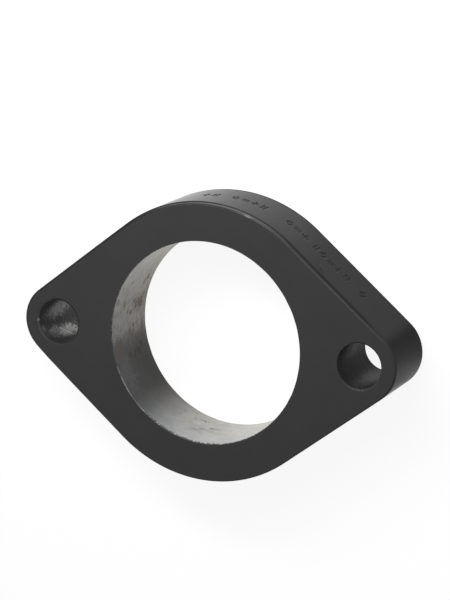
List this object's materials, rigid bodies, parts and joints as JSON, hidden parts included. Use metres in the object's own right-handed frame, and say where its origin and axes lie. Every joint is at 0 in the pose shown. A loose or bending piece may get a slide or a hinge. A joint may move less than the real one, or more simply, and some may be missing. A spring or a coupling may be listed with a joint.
{
  "type": "flange adapter",
  "caption": "Thick lozenge-shaped steel flange plate with a large central bore for a tube and a plain bolt hole in each of its two ears.",
  "frame": {"origin": "centre of the bore on the back face, which is the face that the plate lies on", "axes": "+Z along the bore's axis from the back face to the front face, +X along the line of the two bolts"},
  "size_m": [0.153, 0.107, 0.028],
  "materials": {
    "black_coat": "satin black coat on steel; the bore's wall is bare machined steel"
  },
  "bodies": {
    "root": {"flange": "black_coat"}
  },
  "joints": []
}
